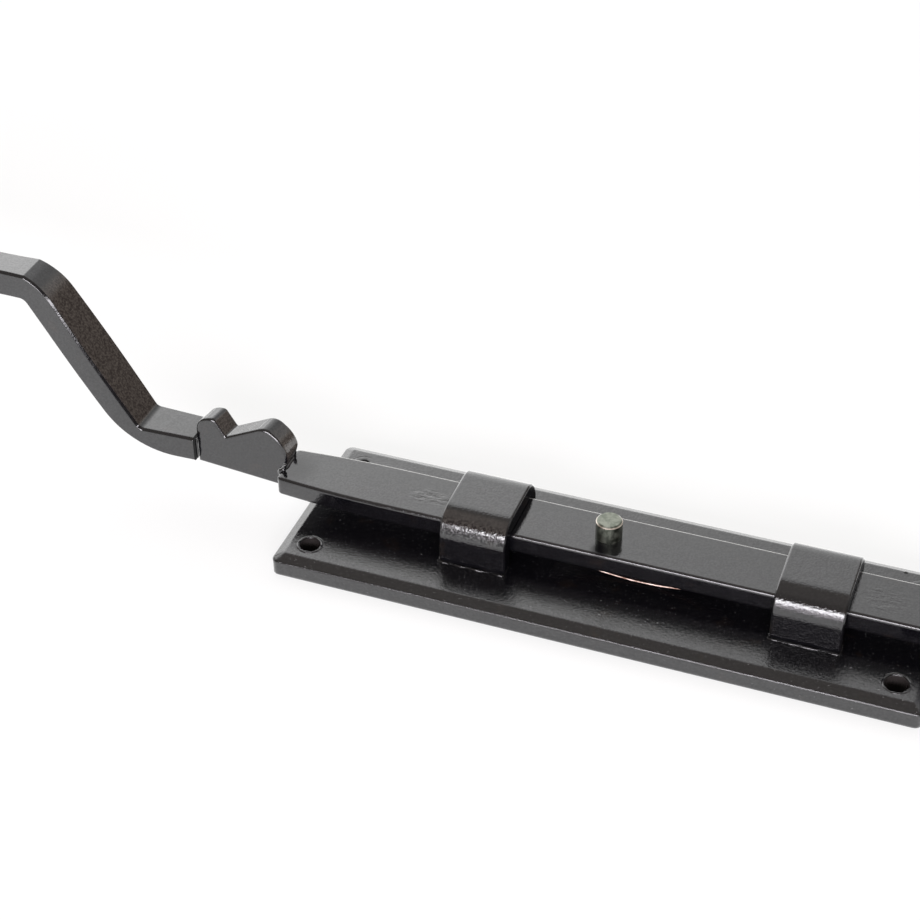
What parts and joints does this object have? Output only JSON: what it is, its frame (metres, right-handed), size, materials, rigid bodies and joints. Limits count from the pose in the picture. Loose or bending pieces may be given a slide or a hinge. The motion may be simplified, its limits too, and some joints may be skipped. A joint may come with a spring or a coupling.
{
  "type": "french door bolt",
  "caption": "Cranked surface bolt for a french door: a flat bar sliding through staples on a bevelled back plate, with a lobed thumb piece and a raised handle.",
  "frame": {"origin": "middle of the back plate's back face, the face that lies on the door", "axes": "+X along the bar towards its tip, +Y across the bar, +Z away from the door"},
  "size_m": [0.2877, 0.038, 0.045],
  "materials": {
    "black_paint": "glossy black paint over forged steel",
    "bare_steel": "turned, unpainted steel",
    "bronze_strip": "rolled bronze spring strip"
  },
  "bodies": {
    "plate": {"back_plate": "black_paint", "handle_end_staple": "black_paint", "tip_end_staple": "black_paint"},
    "bolt": {"bolt_bar": "black_paint", "thumb_piece": "black_paint", "handle": "black_paint", "stop_pin": "bare_steel", "leaf_spring": "bronze_strip"}
  },
  "joints": [
    {"name": "bolt_slide", "type": "slide", "parent": "plate", "child": "bolt", "axis": [1, 0, 0], "range_m": [-0.01465, 0.03035]}
  ]
}
